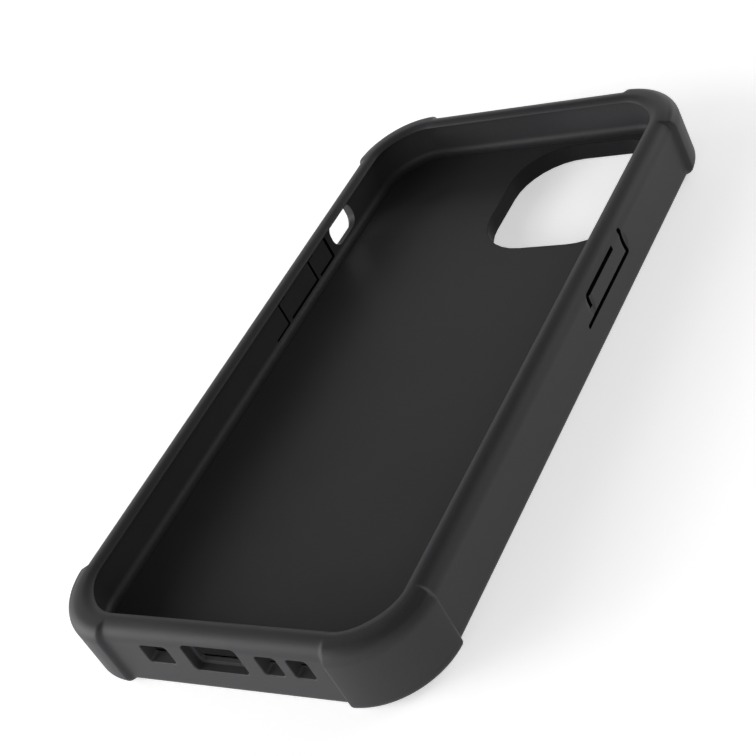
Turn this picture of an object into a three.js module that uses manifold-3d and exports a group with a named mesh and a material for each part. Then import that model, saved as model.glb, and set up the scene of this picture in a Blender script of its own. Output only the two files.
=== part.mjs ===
// A protective case for a 6.1 inch phone: a soft tray-shaped bumper frame with a retaining lip, a
// hard back plate and a soft inner liner, a guard ring round the camera window, four corner pads
// and three side buttons that press inwards.
// Millimetres. +X is to the right and +Y towards the camera end as the open side is looked at,
// +Z comes out of the open side, and the back rests on Z = 0.
import * as THREE from "three";
import { mergeVertices } from "three/addons/utils/BufferGeometryUtils.js";
import Module from "manifold-3d";

const wasm = await Module();
wasm.setup();

// ---------------------------------------------------------------- driving dimensions

// Phone pocket
const phoneWidth = 75.7;
const phoneLength = 150.9;
const phoneEndClearance = 0.35;
const phoneThickness = 8.3;
const phoneCornerRadius = 12.6;
const phoneSideClearance = 0.05;

// Bumper frame
const wall = 2.4;
const lipOverhang = 2.45;
const lipThickness = 1.05;
const screenClearance = 0.55;
const floorHeight = 4.6;
const rimFillet = 2.2;
const backFillet = 1.5;
const pocketFillet = 1.6;

// Floor layers, counted up from the back
const plateRecess = 0.4;
const plateThickness = 1.0;
const linerThickness = 0.5;
const linerBorder = 0.3;
const plateBorder = 0.4;
const plateTabLength = 12;
const plateTabReach = 0.8;
const plateTabThickness = 0.6;
const plateTabRoot = 2;
const plateTabPlaces = [-41, 4];

// Camera window; its margin is the floor left between it and the end wall and the power button's wall
const windowWidth = 35.65;
const windowLength = 35.8;
const windowRadius = 12.1;
const windowMargin = 3.3;
const guardWall = 1.3;
const guardFlare = 0.9;

// Corner pads
const padProud = 1.0;
const padLetIn = 1.0;
const padReach = 14.8;
const padRimWidth = 2.6;
const padFillet = 2.5;
const padSeatFillet = 1.0;

// Side buttons: the height band of their slots, the room for each along Y, the slit that frees
// each of them, and the relief slit that runs on past its end nearest the charging port
const buttonBand = [6.6, 12.3];
const buttonProud = 0.2;
const buttonFillet = 0.2;
const powerSpan = [10.5, 30.4];
const powerSlit = 0.85;
const powerRelief = 3.4;
const volumeBand = [5.9, 11.95];
const volumeDownSpan = [13.95, 28.9];
const volumeUpSpan = [28.9, 37.5];
const volumeSlit = 0.45;
const volumeEndSlit = 0.65;
const volumeRelief = 5.6;
const slitRadius = 0.18;

// Mute switch opening
const muteSpan = [39.45, 50.05];
const muteBand = [6.3, 12.3];
const muteMouthSpan = [39.15, 50.25];
const muteMouthBand = [4.85, 12.85];
const muteMouthDepth = 1.1;
const muteRadius = 2.6;
const muteMouthRadius = 3.4;

// Openings in the bottom end, as [left, right, low, high]
const portOpening = [-6.45, 6.15, 5.65, 12.45];
const portStep = 1.0;
const portStepDepth = 1.7;
const portRadius = 1.0;
const soundOpenings = [
  [-16.9, -10.5, 6.65, 11.3],
  [10.0, 14.5, 6.45, 11.4],
  [16.8, 21.3, 6.5, 11.3],
];
const soundRadius = 0.6;

// Fit between separate pieces
const gap = 0.3;

// ---------------------------------------------------------------- sizes that follow

const cornerRadius = phoneCornerRadius + wall;
const halfWidth = phoneWidth / 2 + phoneSideClearance + wall;
const halfLength = phoneLength / 2 + phoneEndClearance + wall;
const lipUnderside = floorHeight + phoneThickness + screenClearance;
const depth = lipUnderside + lipThickness;
const linerBottom = floorHeight - linerThickness;
const webTop = linerBottom - gap;
const plateTop = plateRecess + plateThickness;
const webBottom = plateTop + gap;
const linerInset = wall + pocketFillet + linerBorder;
const plateInset = wall + plateBorder;
const past = 10;
const cutPast = 0.2;
const arcSteps = 10;
const bevelSteps = 4;
const smallArcSteps = 5;
const smallBevelSteps = 2;

// ---------------------------------------------------------------- materials

const softRubber = { color: 0x2b2c2e, roughness: 0.72, metalness: 0 };
const hardShell = { color: 0x242526, roughness: 0.55, metalness: 0 };
const liningFelt = { color: 0x202123, roughness: 0.95, metalness: 0 };

// ---------------------------------------------------------------- solids from three.js shapes

function solidOf(geometry) {
  geometry.deleteAttribute("normal");
  geometry.deleteAttribute("uv");
  const merged = mergeVertices(geometry, 1e-4);
  return new wasm.Manifold(
    new wasm.Mesh({
      numProp: 3,
      vertProperties: new Float32Array(merged.attributes.position.array),
      triVerts: new Uint32Array(merged.index.array),
    }),
  );
}

function named(name, solid, look) {
  const { numProp, numVert, vertProperties, triVerts } = solid.getMesh();
  const positions = new Float32Array(numVert * 3);
  for (let i = 0; i < numVert; i++) {
    positions.set(vertProperties.subarray(i * numProp, i * numProp + 3), i * 3);
  }
  const geometry = new THREE.BufferGeometry();
  geometry.setAttribute("position", new THREE.BufferAttribute(positions, 3));
  geometry.setIndex(new THREE.BufferAttribute(new Uint32Array(triVerts), 1));
  geometry.computeVertexNormals();
  const mesh = new THREE.Mesh(geometry, new THREE.MeshStandardMaterial(look));
  mesh.name = name;
  return mesh;
}

// A rectangle with round corners between two opposite corners.
function roundedRectangle(x0, x1, y0, y1, radius) {
  const quarter = Math.PI / 2;
  return new THREE.Shape()
    .moveTo(x0 + radius, y0)
    .lineTo(x1 - radius, y0)
    .absarc(x1 - radius, y0 + radius, radius, -quarter, 0)
    .absarc(x1 - radius, y1 - radius, radius, 0, quarter)
    .absarc(x0 + radius, y1 - radius, radius, quarter, 2 * quarter)
    .absarc(x0 + radius, y0 + radius, radius, 2 * quarter, 3 * quarter);
}

// The case's outline, moved in by the inset.
function outline(inset) {
  const x = halfWidth - inset;
  const y = halfLength - inset;
  return roundedRectangle(-x, x, -y, y, cornerRadius - inset);
}

// A flat slab between two heights; a bevel rounds both of its edges within the outline.
function slab(shape, z0, z1, bevel = 0) {
  const geometry = new THREE.ExtrudeGeometry(shape, {
    depth: z1 - z0 - 2 * bevel,
    curveSegments: arcSteps,
    bevelEnabled: bevel > 0,
    bevelThickness: bevel,
    bevelSize: bevel,
    bevelOffset: -bevel,
    bevelSegments: bevelSteps,
  });
  geometry.translate(0, 0, z0 + bevel);
  return solidOf(geometry);
}

function block(x0, x1, y0, y1, z0, z1) {
  const geometry = new THREE.BoxGeometry(x1 - x0, y1 - y0, z1 - z0);
  geometry.translate((x0 + x1) / 2, (y0 + y1) / 2, (z0 + z1) / 2);
  return solidOf(geometry);
}

// A prism through the long side walls: its section lies in Y and Z, and it tapers if asked to.
function sidePrism(x0, x1, span, band, radius, bevel = 0) {
  const shape = roundedRectangle(span[0], span[1], band[0], band[1], radius);
  const geometry = new THREE.ExtrudeGeometry(shape, {
    depth: x1 - x0 - 2 * bevel,
    curveSegments: smallArcSteps,
    bevelEnabled: bevel > 0,
    bevelThickness: bevel,
    bevelSize: bevel,
    bevelOffset: -bevel,
    bevelSegments: smallBevelSteps,
  });
  geometry.applyMatrix4(new THREE.Matrix4().makeBasis(
    new THREE.Vector3(0, 1, 0),
    new THREE.Vector3(0, 0, 1),
    new THREE.Vector3(1, 0, 0),
  ));
  geometry.translate(x0 + bevel, 0, 0);
  return solidOf(geometry);
}

// A prism through the end walls: its section lies in X and Z.
function endPrism(y0, y1, [x0, x1, z0, z1], radius) {
  const geometry = new THREE.ExtrudeGeometry(roundedRectangle(x0, x1, z0, z1, radius), {
    depth: y1 - y0,
    curveSegments: smallArcSteps,
    bevelEnabled: false,
  });
  geometry.rotateX(Math.PI / 2);
  geometry.translate(0, y1, 0);
  return solidOf(geometry);
}

function joined(solids) {
  return solids.reduce((sum, solid) => sum.add(solid));
}

// ---------------------------------------------------------------- shared places

const windowRight = halfWidth - wall - windowMargin;
const windowTop = halfLength - wall - windowMargin;

// The camera window's outline, moved out by the offset.
function windowShape(offset) {
  return roundedRectangle(
    windowRight - windowWidth - offset,
    windowRight + offset,
    windowTop - windowLength - offset,
    windowTop + offset,
    windowRadius + offset,
  );
}

// The back plate's holding tabs, as [x0, x1, y0, y1], each grown by the offset.
function plateTabs(offset) {
  const x = halfWidth - plateInset;
  const y = halfLength - plateInset;
  const half = plateTabLength / 2 + offset;
  const reach = plateTabReach + offset;
  const sides = [-1, 1].flatMap((side) =>
    plateTabPlaces.map((place) => [
      Math.min(side * (x - plateTabRoot), side * (x + reach)),
      Math.max(side * (x - plateTabRoot), side * (x + reach)),
      place - half,
      place + half,
    ]),
  );
  const ends = [-1, 1].map((end) => [
    -half,
    half,
    Math.min(end * (y - plateTabRoot), end * (y + reach)),
    Math.max(end * (y - plateTabRoot), end * (y + reach)),
  ]);
  return [...sides, ...ends];
}

// Everything of one corner beyond the pad's two straight ends; the offset moves those ends.
function cornerZone(sideX, sideY, offset) {
  const x = halfWidth - padReach - offset;
  const y = halfLength - padReach - offset;
  return block(
    Math.min(sideX * x, sideX * (halfWidth + past)),
    Math.max(sideX * x, sideX * (halfWidth + past)),
    Math.min(sideY * y, sideY * (halfLength + past)),
    Math.max(sideY * y, sideY * (halfLength + past)),
    -past,
    depth + past,
  );
}

// The part of a corner that stays with the frame, under and inside the pad.
function cornerCore(offset) {
  const seat = slab(outline(padLetIn - offset), -past, depth - padLetIn + offset, padSeatFillet);
  const rim = slab(outline(padRimWidth - offset), -past, depth + past);
  return seat.add(rim);
}

const corners = [
  ["bottom_left", -1, -1],
  ["bottom_right", 1, -1],
  ["top_left", -1, 1],
  ["top_right", 1, 1],
];

// A slab whose lower and upper edges are rounded by different radii.
function rounded(inset, z0, z1, lowFillet, highFillet) {
  const low = slab(outline(inset), z0, z1 + past, lowFillet);
  const high = slab(outline(inset), z0 - past, z1, highFillet);
  return low.intersect(high);
}

// ---------------------------------------------------------------- pieces

function bumperFrame() {
  const middle = (floorHeight + lipUnderside) / 2;
  let frame = rounded(0, 0, depth, backFillet, rimFillet);

  const pocket = slab(outline(wall), floorHeight, lipUnderside + past, pocketFillet)
    .intersect(slab(outline(wall), floorHeight - past, lipUnderside));
  frame = frame
    .subtract(pocket)
    .subtract(slab(outline(wall + lipOverhang), middle, depth + past))
    .subtract(slab(outline(linerInset - linerBorder), webTop, middle))
    .subtract(slab(outline(plateInset), -past, webBottom))
    .subtract(slab(windowShape(0), -past, depth - wall));

  for (const [x0, x1, y0, y1] of plateTabs(gap)) {
    const top = plateTop + gap;
    frame = frame.subtract(block(x0, x1, y0, y1, top - plateTabThickness - 2 * gap, top));
  }

  for (const [, sideX, sideY] of corners) {
    frame = frame.subtract(cornerZone(sideX, sideY, 0).subtract(cornerCore(0)));
  }

  return frame.subtract(joined(frameOpenings()));
}

// Every cut through the frame's four walls.
function frameOpenings() {
  const outer = halfWidth + past;
  const inner = halfWidth - wall - cutPast;
  const volumeSpan = [volumeDownSpan[0], volumeUpSpan[1]];
  const cuts = [
    sidePrism(inner, outer, powerSpan, buttonBand, powerSlit),
    sidePrism(inner, outer, ...relief(powerSpan, buttonBand, powerRelief, powerSlit)),
    sidePrism(-outer, -inner, volumeSpan, volumeBand, volumeSlit),
    sidePrism(-outer, -inner, ...relief(volumeSpan, volumeBand, volumeRelief, volumeSlit)),
    sidePrism(-outer, -inner, muteSpan, muteBand, muteRadius),
  ];

  const mouthEnd = muteMouthDepth - halfWidth;
  cuts.push(sidePrism(-outer, mouthEnd, muteMouthSpan, muteMouthBand, muteMouthRadius));

  const [left, right, low, high] = portOpening;
  const throat = [left + portStep, right - portStep, low + portStep, high - portStep];
  const face = -halfLength;
  cuts.push(endPrism(face - past, face + portStepDepth, portOpening, portRadius));
  cuts.push(endPrism(face - past, face + wall + cutPast, throat, portRadius));
  for (const opening of soundOpenings) {
    cuts.push(endPrism(face - past, face + wall + cutPast, opening, soundRadius));
  }
  return cuts;
}

// The span, band and corner radius of the slit that runs on past a button slot's near end.
function relief([start], [low], length, width) {
  return [[start - length, start + width], [low, low + width], slitRadius];
}

function cornerPad(sideX, sideY) {
  const reach = -padProud;
  const outside = slab(outline(reach), 0, depth + past, backFillet)
    .intersect(slab(outline(reach), -past, depth, padFillet));
  return outside.intersect(cornerZone(sideX, sideY, -gap)).subtract(cornerCore(gap));
}

function backPlate() {
  let plate = slab(outline(plateInset + gap), plateRecess, plateTop);
  for (const [x0, x1, y0, y1] of plateTabs(0)) {
    plate = plate.add(block(x0, x1, y0, y1, plateTop - plateTabThickness, plateTop));
  }
  return plate.subtract(slab(windowShape(guardWall + gap), -past, webBottom));
}

// The ring lines the window through the back plate, and its mouth widens towards the back.
function cameraGuard() {
  return slab(windowShape(guardWall), 0, plateTop)
    .subtract(slab(windowShape(0), -past, past))
    .subtract(slab(windowShape(guardFlare), -past, guardFlare, guardFlare));
}

function innerLiner() {
  return slab(outline(linerInset), linerBottom, floorHeight)
    .subtract(slab(windowShape(0), 0, past));
}

// A button fills its slot but for the slits at its two ends, its foot and its top.
function sideButton(side, [start, end], [low, high], slit, lowSlit, highSlit) {
  const near = side * (halfWidth - wall);
  const far = side * (halfWidth + buttonProud);
  const span = [start + lowSlit, end - highSlit];
  const band = [low + slit, high - slit];
  return sidePrism(Math.min(near, far), Math.max(near, far), span, band, slit, buttonFillet);
}

// ---------------------------------------------------------------- the case

const phoneCase = new THREE.Group();
phoneCase.add(named("bumper_frame", bumperFrame(), softRubber));
phoneCase.add(named("back_plate", backPlate(), hardShell));
phoneCase.add(named("inner_liner", innerLiner(), liningFelt));
phoneCase.add(named("camera_guard", cameraGuard(), hardShell));
for (const [place, sideX, sideY] of corners) {
  phoneCase.add(named("corner_pad_" + place, cornerPad(sideX, sideY), softRubber));
}

const power = sideButton(1, powerSpan, buttonBand, powerSlit, powerSlit, powerSlit);
const shared = volumeSlit / 2;
const volumeUp = sideButton(-1, volumeUpSpan, volumeBand, volumeSlit, shared, volumeEndSlit);
const volumeDown = sideButton(-1, volumeDownSpan, volumeBand, volumeSlit, volumeSlit, shared);
phoneCase.add(named("power_button", power, softRubber));
phoneCase.add(named("volume_up_button", volumeUp, softRubber));
phoneCase.add(named("volume_down_button", volumeDown, softRubber));

export default phoneCase;
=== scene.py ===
# %% [markdown]
# # A protective phone case
# A phone case is a soft tray. A moulded frame grips the phone round its edge and reaches a
# little way over the screen, its corners are thicker than its sides, and slits turn three
# patches of its walls into buttons. This lesson builds every part again as a finely rounded
# moulding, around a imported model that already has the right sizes.

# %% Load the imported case
import math

import bmesh
import bpy
from mathutils import Euler, Matrix, Vector


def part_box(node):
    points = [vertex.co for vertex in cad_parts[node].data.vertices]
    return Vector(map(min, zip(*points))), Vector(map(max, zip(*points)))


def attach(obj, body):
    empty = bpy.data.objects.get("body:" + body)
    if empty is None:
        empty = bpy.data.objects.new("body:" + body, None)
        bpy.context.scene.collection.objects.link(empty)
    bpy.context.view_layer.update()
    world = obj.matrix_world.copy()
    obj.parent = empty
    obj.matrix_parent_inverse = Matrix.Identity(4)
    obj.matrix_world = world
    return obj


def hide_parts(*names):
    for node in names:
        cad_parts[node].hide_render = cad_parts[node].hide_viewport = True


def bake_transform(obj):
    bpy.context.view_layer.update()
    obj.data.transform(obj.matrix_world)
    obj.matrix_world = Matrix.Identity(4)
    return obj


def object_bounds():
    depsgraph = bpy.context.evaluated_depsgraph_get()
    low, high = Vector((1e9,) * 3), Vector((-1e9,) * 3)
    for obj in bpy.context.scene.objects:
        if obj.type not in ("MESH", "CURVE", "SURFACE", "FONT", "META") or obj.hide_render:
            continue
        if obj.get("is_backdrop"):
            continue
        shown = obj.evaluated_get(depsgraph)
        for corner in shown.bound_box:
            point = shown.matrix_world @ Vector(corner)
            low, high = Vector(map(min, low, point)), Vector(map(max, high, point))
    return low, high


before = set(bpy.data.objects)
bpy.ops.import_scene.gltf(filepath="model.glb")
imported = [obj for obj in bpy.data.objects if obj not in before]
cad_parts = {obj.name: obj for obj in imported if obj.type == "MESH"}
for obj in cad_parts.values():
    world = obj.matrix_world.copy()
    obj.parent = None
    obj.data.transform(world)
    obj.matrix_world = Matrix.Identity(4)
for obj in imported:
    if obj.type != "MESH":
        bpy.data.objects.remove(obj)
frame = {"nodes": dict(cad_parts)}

cad_low, cad_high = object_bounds()
print("nodes:", ", ".join(frame["nodes"]))

# %% [markdown]
# ## Sizes
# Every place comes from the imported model, so a new piece lands where the old one was. All the
# modelling is in millimetres, because a fillet of 1.6 is easier to think about than one of
# 0.0016, and each piece is scaled to metres when it is finished.

# %% Read the sizes in millimetres
MM = 0.001


def node_box(node):
    """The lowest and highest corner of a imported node, in millimetres."""
    low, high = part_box(node)
    return low / MM, high / MM


_, frame_high = node_box("bumper_frame")
_, pad_high = node_box("corner_pad_top_right")
_, liner_high = node_box("inner_liner")
guard_low, guard_high = node_box("camera_guard")
power_low, power_high = node_box("power_button")
up_low, up_high = node_box("volume_up_button")
down_low, down_high = node_box("volume_down_button")

HALF_WIDTH, HALF_LENGTH, DEPTH = frame_high
PAD_PROUD = pad_high.x - HALF_WIDTH
FLOOR_TOP = liner_high.z
CORNER_RADIUS = 15.0
WALL = 2.4
LIP_EDGE = 4.85
LIP_UNDERSIDE = 13.45
POCKET_FILLET = 1.6
WEB_TOP = 3.8
WEB_BOTTOM = 1.7
PLATE_POCKET = 2.8
GUARD_WALL = 1.3
print("case", [round(v, 2) for v in (HALF_WIDTH * 2, HALF_LENGTH * 2, DEPTH)], "mm; pads",
      round(PAD_PROUD, 2), "mm proud")

# %% [markdown]
# ## The section of the wall
# A moulding like this is one section carried round the outline. Going up the inside, the
# section has the fillet at the floor, the flat wall, the undercut below the lip and the thin
# edge of the lip. Then one unbroken curve crosses the rim: a tight arc inside the crown, and a
# quarter of an ellipse outside it. Each point also says what share of a corner pad's thickness
# it moves out by.

# %% Lay out the section as (inset from the outside, height, share moved out)
CROWN = 3.15  # how far the highest line of the rim lies from the outside
RIM_FALL = 3.0  # how far the outer curve of the rim drops
CROWN_SPREAD = 1.2  # the part of the rim over which a pad's thickness comes in
BACK_FILLET = 1.5
UNDERCUT = 0.3
TIP = 0.2
HOLD = 0.12  # a short flat beside each curve, which keeps the shading of the flat faces even


def arc(centre, radius, start, end, steps, out=0.0):
    """Points along part of a circle in the section; angles are in degrees."""
    angles = [math.radians(start + (end - start) * i / steps) for i in range(steps + 1)]
    return [(centre[0] + radius * math.cos(a), centre[1] + radius * math.sin(a), out)
            for a in angles]


def smooth(t):
    """An even ramp from 0 to 1 with soft ends."""
    t = min(1.0, max(0.0, t))
    return t * t * (3 - 2 * t)


def rim_point(degrees):
    """A point of the elliptical outer half of the rim: 90 is the crown, 180 the outer face."""
    a = math.radians(degrees)
    inset = CROWN * (1 + math.cos(a))
    height = DEPTH + RIM_FALL * (math.sin(a) - 1)
    return (inset, height, smooth((CROWN - inset) / CROWN_SPREAD))


# The arc inside the crown touches the crown's height and the lip's small round edge.
tip_in, tip_down = LIP_EDGE - TIP - CROWN, DEPTH - LIP_UNDERSIDE - TIP
INNER_ROUND = (tip_in ** 2 + tip_down ** 2 - TIP ** 2) / (2 * (tip_down - TIP))
meet = math.degrees(math.atan2(INNER_ROUND - tip_down, tip_in))

section = [(WALL + POCKET_FILLET, WEB_TOP, 0), (WALL + POCKET_FILLET, FLOOR_TOP - HOLD, 0)]
section += arc((WALL + POCKET_FILLET, FLOOR_TOP + POCKET_FILLET), POCKET_FILLET, -90, -180, 10)
section += [(WALL, FLOOR_TOP + POCKET_FILLET + HOLD, 0)]
section += [(WALL, LIP_UNDERSIDE - UNDERCUT - HOLD, 0)]
section += arc((WALL + UNDERCUT, LIP_UNDERSIDE - UNDERCUT), UNDERCUT, -180, -270, 3)
section += arc((LIP_EDGE - TIP, LIP_UNDERSIDE + TIP), TIP, -90, meet, 6)
section += arc((CROWN, DEPTH - INNER_ROUND), INNER_ROUND, meet, 92, 12)[1:]
section += [rim_point(88 + 92 * i / 22) for i in range(1, 23)]
section += [(0, DEPTH - RIM_FALL - HOLD, 1), (0, BACK_FILLET + HOLD, 1)]
section += arc((BACK_FILLET, BACK_FILLET), BACK_FILLET, -180, -90, 8, 1)
section += [(BACK_FILLET + HOLD, 0, 1), (PLATE_POCKET, 0, 0), (PLATE_POCKET, WEB_BOTTOM, 0)]
print(len(section), "points in the section; the arc inside the crown is",
      round(INNER_ROUND, 2), "mm")

# %% [markdown]
# ## Carrying the section round
# The outline is four straights and four quarter circles, which is exactly what extrude and
# spin make, so no corner point is worked out by hand. Two loops stay open where the floor of
# the frame is, and filling them makes the floor.

# %% Extrude and spin the section
CORNER_STEPS = 90
LEAD = 1.0
LEAD_STEPS = 4
MERGE = 0.001
SIDE_RUN = 2 * (HALF_LENGTH - CORNER_RADIUS)
END_RUN = 2 * (HALF_WIDTH - CORNER_RADIUS)


def edges_of(geometry):
    return [item for item in geometry if isinstance(item, bmesh.types.BMEdge)]


def verts_of(geometry):
    return [item for item in geometry if isinstance(item, bmesh.types.BMVert)]


def run_straight(bm, edges, heading, length):
    """Extrudes the section's edges along a straight, in short steps where a pad begins."""
    short = [LEAD / LEAD_STEPS] * LEAD_STEPS
    for step in short + [length - 2 * LEAD] + short:
        moved = bmesh.ops.extrude_edge_only(bm, edges=edges)["geom"]
        bmesh.ops.translate(bm, verts=verts_of(moved), vec=heading * step)
        edges = edges_of(moved)
    return edges


def moulding():
    """The whole soft moulding, frame and pads in one, before anything is cut."""
    bm = bmesh.new()
    out = bm.verts.layers.float.new("out")
    line = []
    for inset, height, share in section:
        vert = bm.verts.new((0, inset - HALF_LENGTH, height))
        vert[out] = share
        line.append(vert)
    edges = [bm.edges.new(pair) for pair in zip(line, line[1:])]
    for turn, length in enumerate((END_RUN / 2, SIDE_RUN, END_RUN, SIDE_RUN, END_RUN / 2)):
        angle = turn * math.pi / 2
        edges = run_straight(bm, edges, Vector((math.cos(angle), math.sin(angle), 0)), length)
        if turn < 4:
            centre = (
                (END_RUN if turn in (0, 1) else -END_RUN) / 2,
                (SIDE_RUN if turn in (1, 2) else -SIDE_RUN) / 2,
                0,
            )
            verts = list({vert for edge in edges for vert in edge.verts})
            spun = bmesh.ops.spin(bm, geom=verts + edges, cent=centre, axis=(0, 0, 1),
                                  angle=math.pi / 2, steps=CORNER_STEPS, use_duplicate=False)
            edges = edges_of(spun["geom_last"])
    bmesh.ops.remove_doubles(bm, verts=bm.verts, dist=MERGE)
    shape_corners(bm, out)
    bmesh.ops.holes_fill(bm, edges=[edge for edge in bm.edges if edge.is_boundary], sides=0)
    bmesh.ops.recalc_face_normals(bm, faces=bm.faces)
    return bm


# %% [markdown]
# ## The corner pads
# Each corner is about a millimetre thicker than the walls. The extra thickness starts with a
# soft ramp rather than a step, because a sharp step would tear out of its mould. A shallow
# groove runs along the shoulder of each pad: it starts short on the long side and dies away
# towards the end side. The lip's edge turns the corner a little wider than the outside does.

# %% Push the corners out
PAD_RAMP = 1.15
PAD_LEAD = 0.4  # how far the ramp starts before the corner's arc
GROOVE = 0.27
GROOVE_RAMP = 0.8
GROOVE_MIDDLE = 1.8
GROOVE_HALF = 0.95
GROOVE_END = math.radians(66)
LIP_CORNER = 0.4


def shape_corners(bm, out):
    """Moves the points of each corner outwards for the pad, down for the groove, in at the lip."""
    for vert in bm.verts:
        beyond = Vector((abs(vert.co.x) - END_RUN / 2, abs(vert.co.y) - SIDE_RUN / 2))
        away = Vector((max(beyond.x, 0), max(beyond.y, 0)))
        inset = CORNER_RADIUS - away.length
        turn = math.atan2(away.y, away.x)
        past_side = turn * CORNER_RADIUS + min(beyond.y, 0)
        past_end = (math.pi / 2 - turn) * CORNER_RADIUS + min(beyond.x, 0)
        push = PAD_PROUD * vert[out] * smooth((min(past_side, past_end) + PAD_LEAD) / PAD_RAMP)
        if inset > CROWN and vert.co.z > LIP_UNDERSIDE - HOLD:
            share = smooth((inset - CROWN) / (LIP_EDGE - CROWN))
            push -= LIP_CORNER * share * math.sin(2 * turn) ** 2
        if vert[out] and vert.co.z > LIP_UNDERSIDE - RIM_FALL:
            across = smooth(1 - abs(inset - GROOVE_MIDDLE) / GROOVE_HALF)
            along = smooth(past_side / GROOVE_RAMP) * smooth(1 - turn / GROOVE_END)
            vert.co.z -= GROOVE * across * along
        away.normalize()
        vert.co.x += math.copysign(away.x * push, vert.co.x * push)
        vert.co.y += math.copysign(away.y * push, vert.co.y * push)


body = moulding()
print("moulding:", len(body.verts), "points,", len(body.faces), "faces")

# %% [markdown]
# ## Tools that cut openings
# Each opening is cut by a solid of its own shape. The tool starts as a flat rounded rectangle
# outside the wall and is extruded inwards. Where the opening has a small chamfer at its mouth,
# the face is inset on the way, so the tool gets narrower there.

# %% A tool for a rounded opening
PLACES = {
    "x": Matrix(((0, 0, 1), (1, 0, 0), (0, 1, 0))).to_4x4(),
    "y": Matrix(((1, 0, 0), (0, 0, 1), (0, 1, 0))).to_4x4(),
    "z": Matrix.Identity(4),
}


def opening_tool(rect, radius, levels, axis):
    """A rounded rectangle carried along an axis.

    rect is low and high along one side, then along the other, and levels are pairs of a place
    along the axis and how far the outline is inset there.
    """
    left, right, low, high = rect
    bm = bmesh.new()
    corners = [bm.verts.new((a, b, levels[0][0])) for a, b in
               ((left, low), (right, low), (right, high), (left, high))]
    bm.faces.new(corners)
    bmesh.ops.bevel(bm, geom=corners, affect="VERTICES", offset=radius, segments=8,
                    profile=0.5, material=-1)
    face = bm.faces[:][0]
    for (place, inset), (next_place, next_inset) in zip(levels, levels[1:]):
        if next_inset > inset:
            bmesh.ops.inset_region(bm, faces=[face], thickness=next_inset - inset,
                                   use_even_offset=True)
        else:
            made = bmesh.ops.extrude_discrete_faces(bm, faces=[face])
            face = made["faces"][0]
        bmesh.ops.translate(bm, verts=face.verts[:], vec=(0, 0, next_place - place))
    bmesh.ops.holes_fill(bm, edges=[edge for edge in bm.edges if edge.is_boundary], sides=0)
    bmesh.ops.transform(bm, matrix=PLACES[axis], verts=bm.verts)
    bmesh.ops.recalc_face_normals(bm, faces=bm.faces)
    return bm


def block_tool(low, high):
    """A block between two corners."""
    bm = bmesh.new()
    middle = (Vector(low) + Vector(high)) / 2
    size = Vector(high) - Vector(low)
    place = Matrix.Translation(middle) @ Matrix.Diagonal((*size, 1))
    bmesh.ops.create_cube(bm, size=1, matrix=place)
    return bm


def grown(rect, by):
    """A rectangle made larger all round."""
    return (rect[0] - by, rect[1] + by, rect[2] - by, rect[3] + by)


# %% [markdown]
# ## Cutting
# Blender's Boolean modifier does the cutting. It needs objects, so a small helper makes one
# from each bmesh, and takes the finished mesh from the evaluated object.

# %% Helpers for objects and cuts
def to_object(name, bm):
    """Makes an object in the scene from a bmesh, and frees the bmesh."""
    mesh = bpy.data.meshes.new(name)
    bm.to_mesh(mesh)
    bm.free()
    made = bpy.data.objects.new(name, mesh)
    bpy.context.scene.collection.objects.link(made)
    return made


def cut(piece, tool, operation="DIFFERENCE"):
    """Cuts a piece by a tool, which is a bmesh or an object, and leaves the tool's object."""
    if not isinstance(tool, bpy.types.Object):
        tool = to_object("tool", tool)
    step = piece.modifiers.new("cut", "BOOLEAN")
    step.object = tool
    step.operation = operation
    step.solver = "EXACT"
    graph = bpy.context.evaluated_depsgraph_get()
    result = bpy.data.meshes.new_from_object(piece.evaluated_get(graph))
    piece.modifiers.clear()
    old = piece.data
    piece.data = result
    bpy.data.meshes.remove(old)
    return tool


def cut_all(piece, tools, operation="DIFFERENCE"):
    """Cuts a piece by each tool in turn, and removes the tools."""
    for tool in tools:
        bpy.data.objects.remove(cut(piece, tool, operation))


# %% [markdown]
# ## The openings
# The camera window goes through the floor. The bottom end has the charging port, which has a
# step inside, and three sound openings. The long sides have the mute switch opening, which
# flares outwards so that a fingertip can reach in, and the slots that free the buttons.

# %% Cut the openings
MOUTH = 0.15
BEYOND = 3.0
THROUGH = WALL + 0.6
END_FACE = -HALF_LENGTH
LEFT_FACE = -HALF_WIDTH
WINDOW_RADIUS = 12.1
SLEEVE = 0.12  # the part of the window's wall that belongs to the camera guard

window = grown((guard_low.x, guard_high.x, guard_low.y, guard_high.y), -GUARD_WALL)
frame_piece = to_object("frame_moulding", body)


def end_opening(rect, radius, depth=THROUGH):
    """A tool that cuts the bottom end, with a small chamfer at the mouth."""
    levels = [(END_FACE - BEYOND, 0), (END_FACE, 0),
              (END_FACE + MOUTH, MOUTH), (END_FACE + depth, MOUTH)]
    return opening_tool(grown(rect, MOUTH), radius + MOUTH, levels, "y")


def window_tool(by, low, high):
    """The camera window, grown all round, between two heights."""
    return opening_tool(grown(window, by), WINDOW_RADIUS + by, [(low, 0), (high, 0)], "z")


PORT = (-6.45, 6.15, 5.65, 12.45)
PORT_RADIUS = 1.0
PORT_STEP = 1.0
PORT_STEP_DEPTH = 1.7
SOUND = [(-16.9, -10.5, 6.65, 11.3), (10.0, 14.5, 6.45, 11.4), (16.8, 21.3, 6.5, 11.3)]
SOUND_RADIUS = 0.7
throat_levels = [(END_FACE - BEYOND, 0), (END_FACE + THROUGH, 0)]
cut_all(frame_piece, [window_tool(SLEEVE, -BEYOND, FLOOR_TOP + BEYOND)])
cut_all(frame_piece, [
    end_opening(PORT, PORT_RADIUS, PORT_STEP_DEPTH),
    opening_tool(grown(PORT, -PORT_STEP), PORT_RADIUS, throat_levels, "y"),
])
cut_all(frame_piece, [end_opening(rect, SOUND_RADIUS) for rect in SOUND])

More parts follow.
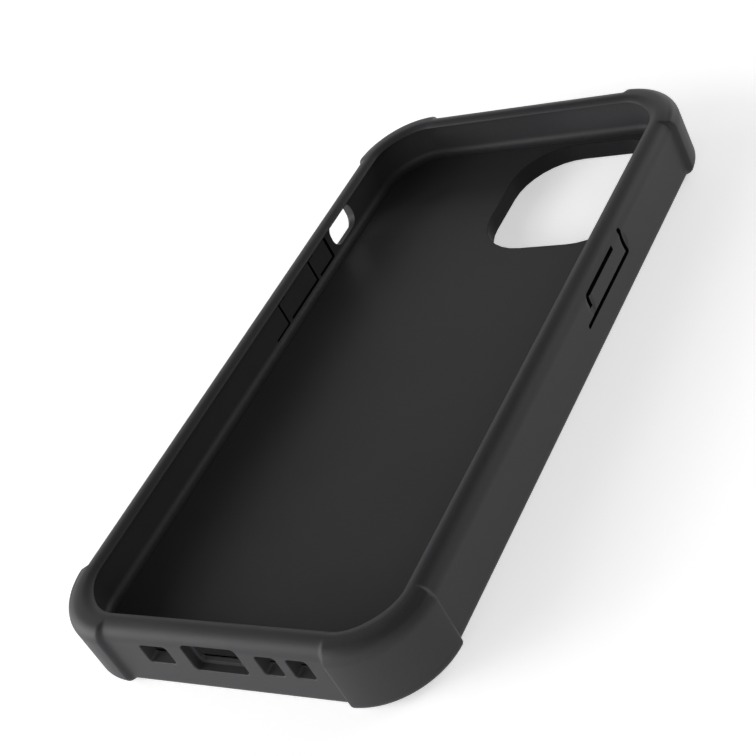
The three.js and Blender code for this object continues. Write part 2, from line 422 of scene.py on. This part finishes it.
MUTE, MUTE_RADIUS = (39.45, 50.05, 6.3, 12.3), 2.6
MUTE_MOUTH, MUTE_MOUTH_RADIUS = (39.15, 50.25, 4.85, 12.85), 3.4
mute_levels = [(LEFT_FACE - BEYOND, 0), (LEFT_FACE + THROUGH, 0)]
mouth_levels = [(LEFT_FACE - BEYOND, 0), (LEFT_FACE + 0.7, 0), (LEFT_FACE + 1.1, 0.2)]
cut_all(frame_piece, [
    opening_tool(MUTE, MUTE_RADIUS, mute_levels, "x"),
    opening_tool(MUTE_MOUTH, MUTE_MOUTH_RADIUS, mouth_levels, "x"),
])
print("frame after its openings:", len(frame_piece.data.polygons), "faces")

# %% [markdown]
# ## The button slots
# A hooked slit frees each button on most of its outline, and a short web of the same rubber
# holds it. The slot is cut all the way round, and the button and its webs fill it again.

# %% Cut the slots, the relief slits and the shallow dimples at the power button's ends
POWER_SLIT = 0.85
VOLUME_SLIT = 0.45
VOLUME_END_SLIT = 0.65
POWER_SLOT = grown((power_low.y, power_high.y, power_low.z, power_high.z), POWER_SLIT)
VOLUME_SLOT = (down_low.y - VOLUME_SLIT, up_high.y + VOLUME_END_SLIT,
               up_low.z - VOLUME_SLIT, up_high.z + VOLUME_SLIT)
POWER_RELIEF = 3.4
VOLUME_RELIEF = 5.6
LONG_SLIT, FOOT_SLIT, FRONT_SLIT, BACK_SLIT = 1.05, 0.95, 1.05, 1.2
SLOT_TAIL = (29.2, POWER_SLOT[1], 9.0, 12.75)
POWER_PANEL = (POWER_SLOT[0] + FRONT_SLIT, POWER_SLOT[1] - BACK_SLIT,
               POWER_SLOT[2] + FOOT_SLIT, POWER_SLOT[3] - LONG_SLIT)
VOLUME_SPLIT = (down_high.y + up_low.y) / 2
SPLIT_SLIT, TOP_END_SLIT, LOW_END_SLIT = 0.6, 0.8, 0.6
UP_PANEL = (VOLUME_SPLIT + SPLIT_SLIT / 2, VOLUME_SLOT[1] - TOP_END_SLIT,
            VOLUME_SLOT[2] + 0.55, VOLUME_SLOT[3] - 0.5)
DOWN_PANEL = (VOLUME_SLOT[0] + LOW_END_SLIT, VOLUME_SPLIT - SPLIT_SLIT / 2, *UP_PANEL[2:])


def side_slot(rect, radius, side):
    """A tool that goes through a long side: 1 is the right-hand wall, -1 the left-hand one."""
    face = side * HALF_WIDTH
    levels = [(face + side * BEYOND, 0), (face - side * (WALL + 0.3), 0)]
    return opening_tool(rect, radius, levels, "x")


def relief_of(slot, length, width):
    """The slit that runs on past the end of a slot, along its foot."""
    return (slot[0] - length, slot[0] + width, slot[2], slot[2] + width)


DIMPLES = [(30.0, 9.4), (10.9, 9.9)]
DIMPLE_HALF_SIZE = (0.58, 1.9, 3.0)
DIMPLE_LIFT = 0.3


def dimple_tool(place_y, place_z):
    """A flattened ball that presses a shallow oval hollow into the right-hand wall."""
    bm = bmesh.new()
    place = (Matrix.Translation((HALF_WIDTH + DIMPLE_LIFT, place_y, place_z))
             @ Matrix.Diagonal((*DIMPLE_HALF_SIZE, 1)))
    # The ball's rings lie round the X axis, and few rings keep the hollow's shading soft.
    bmesh.ops.create_uvsphere(bm, u_segments=40, v_segments=9, radius=1,
                              matrix=place @ Matrix.Rotation(math.pi / 2, 4, "Y"))
    return bm


POWER_RUN = relief_of(POWER_SLOT, POWER_RELIEF, FOOT_SLIT)
VOLUME_RUN = relief_of(VOLUME_SLOT, VOLUME_RELIEF, VOLUME_SLIT)
SLITS = [(1, POWER_SLOT), (1, SLOT_TAIL), (1, POWER_RUN), (-1, VOLUME_SLOT), (-1, VOLUME_RUN)]
cut_all(frame_piece, [
    side_slot(POWER_SLOT, 0.7, 1),
    side_slot(SLOT_TAIL, 0.45, 1),
    side_slot(POWER_RUN, 0.4, 1),
    side_slot(VOLUME_SLOT, 0.3, -1),
    side_slot(VOLUME_RUN, 0.2, -1),
])
cut_all(frame_piece, [dimple_tool(*place) for place in DIMPLES])
print("frame after its slots:", len(frame_piece.data.polygons), "faces")

# %% [markdown]
# ## Separating the pads
# The pads are pieces of their own, seated in the frame's corners. They meet the frame along
# lines that can't be seen once it is assembled, so the finished moulding is cut in two along
# the seats, and both sides keep the same smooth outside.

# %% Cut each corner from the frame
PAD_SEAT = 1.0
PAD_RIM = CROWN
REACH = 20
CLEAR = 5  # how far the corner's block stands past the case above and below


def corner_tool(side_x, side_y):
    """Everything of one corner outside the pad's seat."""
    span_x = sorted((side_x * END_RUN / 2, side_x * (END_RUN / 2 + REACH)))
    span_y = sorted((side_y * SIDE_RUN / 2, side_y * (SIDE_RUN / 2 + REACH)))
    zone = to_object("zone", block_tool((span_x[0], span_y[0], -CLEAR),
                                        (span_x[1], span_y[1], DEPTH + CLEAR)))
    for inset, bottom, top in ((PAD_SEAT, -8, DEPTH - PAD_SEAT), (PAD_RIM, -9, DEPTH + 8)):
        x, y = HALF_WIDTH - inset, HALF_LENGTH - inset
        core = opening_tool((-x, x, -y, y), CORNER_RADIUS - inset, [(bottom, 0), (top, 0)], "z")
        cut_all(zone, [core])
    return zone


CORNERS = (("bottom_left", -1, -1), ("bottom_right", 1, -1),
           ("top_left", -1, 1), ("top_right", 1, 1))
pads = {}
for name, side_x, side_y in CORNERS:
    tool = corner_tool(side_x, side_y)
    pad = to_object("corner_moulding_" + name, bmesh.new())
    pad.data = frame_piece.data.copy()
    cut(pad, tool, "INTERSECT")
    cut(frame_piece, tool)
    bpy.data.objects.remove(tool)
    pads[name] = pad
print("pads:", {name: len(pad.data.polygons) for name, pad in pads.items()})

# %% [markdown]
# ## Buttons and their webs
# A button is a patch of the wall, so its face is flush with the wall outside and inside, and
# whatever reaches into the rim's curve follows it. Its webs are separate pieces, each between
# the frame and its button.

# %% Make the buttons
BUTTON_EDGE = 0.12


def side_block(name, side, span, band, edge=0.0, cuts=0):
    """A patch of a long wall: its span runs along Y and its band along Z."""
    inner, outer = sorted((side * (HALF_WIDTH - WALL), side * HALF_WIDTH))
    bm = block_tool((inner, span[0], band[0]), (outer, span[1], band[1]))
    if edge:
        rim = [e for e in bm.edges if abs(e.verts[0].co.x - e.verts[1].co.x) < MERGE]
        bmesh.ops.bevel(bm, geom=rim, affect="EDGES", offset=edge, segments=3, profile=0.5,
                        material=-1)
    if cuts:
        bmesh.ops.subdivide_edges(bm, edges=bm.edges[:], cuts=cuts, use_grid_fill=True)
    for vert in bm.verts:
        rise = (vert.co.z - DEPTH + RIM_FALL) / RIM_FALL
        if rise > 0 and abs(vert.co.x) > HALF_WIDTH - HOLD:
            vert.co.x -= side * CROWN * (1 - math.sqrt(1 - rise * rise))
    return to_object(name, bm)


power_piece = side_block("power_button_panel", 1, POWER_PANEL[:2], POWER_PANEL[2:], BUTTON_EDGE)
up_piece = side_block("volume_up_panel", -1, UP_PANEL[:2], UP_PANEL[2:], BUTTON_EDGE)
down_piece = side_block("volume_down_panel", -1, DOWN_PANEL[:2], DOWN_PANEL[2:], BUTTON_EDGE)
cut_all(power_piece, [dimple_tool(*place) for place in DIMPLES])

power_gap = (POWER_PANEL[3], POWER_SLOT[3])
low_gap = (VOLUME_SLOT[2], UP_PANEL[2])
high_gap = (UP_PANEL[3], VOLUME_SLOT[3])
# Name, side, span along Y, band along Z, button body, direction from frame to button.
WEBS = [
    ("power_web_high", 1, (25.3, POWER_PANEL[1]), power_gap, "power_button_body", (0, -1)),
    ("power_web_low", 1, (POWER_SLOT[0], POWER_PANEL[0]), (POWER_PANEL[2], 9.0),
     "power_button_body", (1, 0)),
    ("volume_up_web_low", -1, (UP_PANEL[0], 30.3), low_gap, "volume_up_body", (0, 1)),
    ("volume_up_web_high", -1, (31.0, 36.0), high_gap, "volume_up_body", (0, -1)),
    ("volume_down_web_low", -1, (DOWN_PANEL[0], 15.9), low_gap, "volume_down_body", (0, 1)),
    ("volume_down_web_high", -1, (17.0, 26.0), high_gap, "volume_down_body", (0, -1)),
]
webs = []
for name, side, span, band, moved, (along_y, along_z) in WEBS:
    # The web fills the button's rounded edge where the two meet.
    span = (span[0] - BUTTON_EDGE * (along_y < 0), span[1] + BUTTON_EDGE * (along_y > 0))
    band = (band[0] - BUTTON_EDGE * (along_z < 0), band[1] + BUTTON_EDGE * (along_z > 0))
    web = side_block(name, side, span, band, cuts=3)
    if side > 0:
        cut_all(web, [dimple_tool(*place) for place in DIMPLES])
    first = Vector((0, span[0] if along_y > 0 else span[1], band[0] if along_z > 0 else band[1]))
    last = Vector((0, span[1] if along_y > 0 else span[0], band[1] if along_z > 0 else band[0]))
    middle = (first + last) / 2
    start = Vector((0, first.y if along_y else middle.y, first.z if along_z else middle.z))
    end = Vector((0, last.y if along_y else middle.y, last.z if along_z else middle.z))
    webs.append((web, moved, start * MM, end * MM))
print(len(webs), "webs")

# %% [markdown]
# ## Floor layers
# The liner, the back plate and the camera guard have the right shape in the imported model.
# The liner's and the plate's edges only need the small rounding that every moulded part has, so
# each of these two is copied, its loose triangles are merged, its flat faces are made whole and
# its sharp edges are bevelled.

# %% Copy and round the flat pieces
FLAT = math.radians(0.5)
CORNER = math.radians(40)


def rounded_copy(name, node, edge):
    """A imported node's shape in millimetres, with its sharp edges rounded."""
    bm = bmesh.new()
    bm.from_mesh(frame["nodes"][node].data)
    bmesh.ops.scale(bm, vec=(1 / MM,) * 3, verts=bm.verts)
    bmesh.ops.remove_doubles(bm, verts=bm.verts, dist=2 * MERGE)
    bmesh.ops.dissolve_limit(bm, angle_limit=FLAT, verts=bm.verts, edges=bm.edges)
    edges = [e for e in bm.edges if e.is_manifold and e.calc_face_angle() > CORNER]
    bmesh.ops.bevel(bm, geom=edges, affect="EDGES", offset=edge, segments=2, profile=0.5,
                    material=-1, clamp_overlap=True)
    return to_object(name, bm)


liner_piece = rounded_copy("inner_liner_sheet", "inner_liner", 0.06)
cut_all(liner_piece, [window_tool(SLEEVE, WEB_TOP - 1, FLOOR_TOP + 1)])
plate_piece = rounded_copy("back_plate_shell", "back_plate", 0.12)

# %% [markdown]
# The camera guard is a ring with a thin sleeve that lines the window as far up as the liner,
# and its mouth is rounded towards the back. It is made with the window's own cutting tool, so
# that its corners run parallel to the window's.

# %% Make the camera guard
GUARD_FLARE = 0.9
FLARE_STEPS = 8
guard_piece = to_object("camera_guard_ring", window_tool(GUARD_WALL, 0, guard_high.z))
cut_all(guard_piece, [window_tool(SLEEVE, guard_high.z / 2, FLOOR_TOP)], "UNION")
quarter = [math.pi / 2 * i / FLARE_STEPS for i in range(FLARE_STEPS + 1)]
flare_levels = [(-1, 0)]
flare_levels += [(GUARD_FLARE * math.sin(a), GUARD_FLARE * (1 - math.cos(a))) for a in quarter]
cut_all(guard_piece, [
    window_tool(0, -1, FLOOR_TOP + 1),
    opening_tool(grown(window, GUARD_FLARE), WINDOW_RADIUS + GUARD_FLARE, flare_levels, "z"),
])
print("guard:", len(guard_piece.data.polygons), "faces")

# %% [markdown]
# ## Materials
# The frame, the pads and the buttons are dark grey thermoplastic rubber, and the back and the
# camera guard are polycarbonate. The mould's surface is spark-eroded, which leaves a fine even
# grain that keeps the gloss down. Real spark-eroded grain is about a tenth of a millimetre,
# too fine to show from here, so it is drawn at about half a millimetre. A second, cloudy
# noise, a centimetre or two wide, keeps the colour and the gloss from being dead even.

# %% Colours and the node helper
def linear(code):
    """An sRGB hex colour as linear red, green, blue and alpha."""
    parts = [int(code[i:i + 2], 16) / 255 for i in (1, 3, 5)]
    return [p / 12.92 if p <= 0.04045 else ((p + 0.055) / 1.055) ** 2.4 for p in parts] + [1.0]


def add(tree, kind, settings=None, inputs=None):
    """Adds a node; settings are its own properties, inputs are values or sockets to link from."""
    node = tree.nodes.new("ShaderNode" + kind)
    for key, value in (settings or {}).items():
        setattr(node, key, value)
    for key, value in (inputs or {}).items():
        if isinstance(value, bpy.types.NodeSocket):
            tree.links.new(value, node.inputs[key])
        else:
            node.inputs[key].default_value = value
    return node


CLOUD_MM = 18.0
ROUGHNESS_SPREAD = 0.04


def grained(name, colour, colour_high, roughness, grain_mm, depth_mm, specular=0.25, ior=1.5):
    """A matt moulded surface between two tones, with a grain of a given width and depth."""
    material = bpy.data.materials.new(name)
    material.use_nodes = True
    tree = material.node_tree
    tree.nodes.clear()
    place = add(tree, "TexCoord").outputs["Object"]
    grain = add(tree, "TexNoise", inputs={
        "Vector": place, "Scale": 1 / (grain_mm * MM), "Detail": 2.0, "Roughness": 0.55})
    cloud = add(tree, "TexNoise", inputs={
        "Vector": place, "Scale": 1 / (CLOUD_MM * MM), "Detail": 3.0, "Roughness": 0.5})
    # Half of the tone comes from the cloud and half from the grain.
    tone = add(tree, "MapRange", inputs={
        "Value": cloud.outputs["Fac"], "From Min": 0.3, "From Max": 0.7})
    speck = add(tree, "MapRange", inputs={
        "Value": grain.outputs["Fac"], "From Min": 0.35, "From Max": 0.65,
        "To Min": 0.0, "To Max": 0.5})
    amount = add(tree, "Math", {"operation": "MULTIPLY_ADD"},
                 {0: tone.outputs[0], 1: 0.5, 2: speck.outputs[0]})
    base = add(tree, "Mix", {"data_type": "RGBA"},
               {0: amount.outputs[0], 6: linear(colour), 7: linear(colour_high)})
    rough = add(tree, "MapRange", inputs={
        "Value": amount.outputs[0], "To Min": roughness - ROUGHNESS_SPREAD,
        "To Max": roughness + ROUGHNESS_SPREAD})
    bump = add(tree, "Bump", inputs={
        "Strength": 0.6, "Distance": depth_mm * MM, "Height": grain.outputs["Fac"]})
    shader = add(tree, "BsdfPrincipled", inputs={
        "Base Color": base.outputs[2], "Roughness": rough.outputs[0],
        "Specular IOR Level": specular, "IOR": ior, "Normal": bump.outputs[0]})
    add(tree, "OutputMaterial", inputs={"Surface": shader.outputs[0]})
    return material


# Moulded thermoplastic rubber: a soft grey sheen along the rim and no mirror-like highlight.
RUBBER = ("#2c2c2e", "#323234", 0.55, 0.5, 0.02)
soft_rubber = grained("spark_eroded_thermoplastic_rubber", *RUBBER)
pad_rubber = grained("corner_thermoplastic_rubber", *RUBBER)
button_rubber = grained("button_thermoplastic_rubber", *RUBBER)
# Moulded polycarbonate: darker and a little smoother than the rubber, with a finer grain.
hard_shell = grained("matt_moulded_polycarbonate", "#141416", "#1a1a1c", 0.5, 0.4, 0.012,
                     specular=0.08)
# Microfibre with a short nap: more matt than the mouldings, even and without direction.
lining = grained("short_nap_microfibre_lining", "#2c2c2e", "#323234", 0.6, 0.6, 0.015)
# Painted shade in the slits: rubber made far darker than it is and nearly without reflection,
# because light hardly gets into the real slits, which gives the eye the black line round each
# button.
painted_slit_shade = grained("slits_painted_shade_rubber", "#060606", "#0a0a0a", 0.9, 0.3, 0.01,
                      specular=0.04, ior=1.02)
print("materials:", ", ".join(material.name for material in bpy.data.materials))

# %% [markdown]
# ## Finishing
# A finished piece is scaled to metres, shaded smooth except at its sharp edges, given its
# material and parented to the body it rides on, and the imported node it stands for is hidden.
# Cutting leaves large flat faces next to thin ones, so the normals are weighted by area, which
# keeps the flat faces free of streaks.

# %% Finish every piece
SHARP = math.radians(32)


def in_slit(face):
    """True for a face inside a slit, which gets the dark material that paints the slit's shade."""
    middle = face.calc_center_median()
    if abs(face.normal.x) > 0.5 or abs(middle.x) < HALF_WIDTH - WALL - HOLD:
        return False
    for side, slit in SLITS:
        low_y, high_y, low_z, high_z = grown(slit, HOLD)
        if side * middle.x > 0 and low_y < middle.y < high_y and low_z < middle.z < high_z:
            return True
    return False


def finished(piece, material, nodes):
    """Cleans, shades and scales a piece, gives it its materials and hides the nodes it replaces.
    """
    bm = bmesh.new()
    bm.from_mesh(piece.data)
    bmesh.ops.remove_doubles(bm, verts=bm.verts, dist=MERGE / 2)
    bmesh.ops.dissolve_degenerate(bm, edges=bm.edges, dist=MERGE / 2)
    bm.normal_update()
    has_slit_shade = False
    for face in bm.faces:
        face.smooth = True
        # Faces inside the slits take the second material, which paints their shade dark.
        face.material_index = int(in_slit(face))
        has_slit_shade = has_slit_shade or face.material_index == 1
    for edge in bm.edges:
        edge.smooth = edge.is_manifold and edge.calc_face_angle() < SHARP
    bmesh.ops.scale(bm, vec=(MM,) * 3, verts=bm.verts)
    piece.data.materials.clear()
    piece.data.materials.append(material)
    if has_slit_shade:
        piece.data.materials.append(painted_slit_shade)
    bm.to_mesh(piece.data)
    bm.free()
    even = piece.modifiers.new("even_shading", "WEIGHTED_NORMAL")
    even.keep_sharp = True
    if nodes:
        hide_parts(*nodes)
    return piece


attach(finished(frame_piece, soft_rubber, ["bumper_frame"]), "case")
for name, pad in pads.items():
    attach(finished(pad, pad_rubber, ["corner_pad_" + name]), "case")
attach(finished(liner_piece, lining, ["inner_liner"]), "case")
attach(finished(plate_piece, hard_shell, ["back_plate"]), "case")
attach(finished(guard_piece, hard_shell, ["camera_guard"]), "case")
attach(finished(power_piece, button_rubber, ["power_button"]),
        "power_button_body")
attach(finished(up_piece, button_rubber, ["volume_up_button"]), "volume_up_body")
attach(finished(down_piece, button_rubber, ["volume_down_button"]),
        "volume_down_body")
for web, moved, start, end in webs:
    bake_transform(finished(web, button_rubber, []))

# %% [markdown]
# ## Studio
# A pale floor and a ring of low softboxes, strongest at the left, so that the walls and the
# rim catch light while the tray itself stays dark. The floor glows a little, which keeps the
# shadows on it pale.

# %% Floor, lights and camera
floor_material = bpy.data.materials.new("pale_studio_floor")
floor_material.use_nodes = True
tree = floor_material.node_tree
tree.nodes.clear()
floor_shader = add(tree, "BsdfPrincipled", inputs={
    "Base Color": linear("#f4f4f4"), "Roughness": 0.9,
    "Emission Color": (1, 1, 1, 1), "Emission Strength": 0.5})
add(tree, "OutputMaterial", inputs={"Surface": floor_shader.outputs[0]})
FLOOR_REACH = 4
FLOOR_GAP = 0.0005
bm = bmesh.new()
bmesh.ops.create_grid(bm, x_segments=1, y_segments=1, size=FLOOR_REACH,
                      matrix=Matrix.Translation((0, 0, -FLOOR_GAP)))
floor = to_object("studio_floor", bm)
floor.data.materials.append(floor_material)
floor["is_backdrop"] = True


SOFTBOX_DISTANCE = 0.9
SOFTBOX_SIZE = 0.5
# Azimuth and elevation in degrees, and power in watts.
SOFTBOXES = [
    (45, 27, 1.2), (60, 12, 1.9), (90, 12, 1.8), (120, 12, 1.2), (150, 12, 0.6), (180, 12, 1.1),
    (180, 27, 0.8), (210, 12, 5.5), (225, 27, 2.6), (240, 12, 0.5), (270, 12, 2.2), (300, 12, 0.5),
    (315, 27, 1.1),
]
for azimuth, elevation, power in SOFTBOXES:
    a, e = math.radians(azimuth), math.radians(elevation)
    direction = Vector((math.cos(e) * math.cos(a), math.cos(e) * math.sin(a), math.sin(e)))
    name = f"softbox_{azimuth}_{elevation}"
    light = bpy.data.lights.new(name, "AREA")
    light.size, light.energy = SOFTBOX_SIZE, power
    lamp = bpy.data.objects.new(name, light)
    bpy.context.scene.collection.objects.link(lamp)
    lamp.location = direction * SOFTBOX_DISTANCE
    lamp.rotation_euler = (-direction).to_track_quat("-Z", "Y").to_euler()
print(len(SOFTBOXES), "softboxes")

world = bpy.data.worlds.new("studio_room")
world.use_nodes = True
sky = world.node_tree.nodes["Background"]
sky.inputs["Color"].default_value = (1, 1, 1, 1)
sky.inputs["Strength"].default_value = 0.02
bpy.context.scene.world = world
bpy.context.scene.view_settings.view_transform = "Standard"

camera_data = bpy.data.cameras.new("camera")
camera_data.lens = 78.4
camera_data.sensor_width = 36
camera_data.shift_x, camera_data.shift_y = -0.0019, -0.0011
camera = bpy.data.objects.new("camera", camera_data)
bpy.context.scene.collection.objects.link(camera)
camera.location = (0.19255, -0.20132, 0.18992)
camera.rotation_euler = Euler([math.radians(a) for a in (52.6025, 24.929, 27.0292)])
bpy.context.scene.camera = camera

# %% [markdown]
# ## Last checks
# The visual model should keep the size of the imported one, so how far its box grew past the
# imported box is printed.

# %% Print how far the box grew and finish
low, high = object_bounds()
growth = [((h - l) - (ch - cl)) / MM for l, h, cl, ch in zip(low, high, cad_low, cad_high)]
print("grew by", [round(value, 2) for value in growth], "mm")
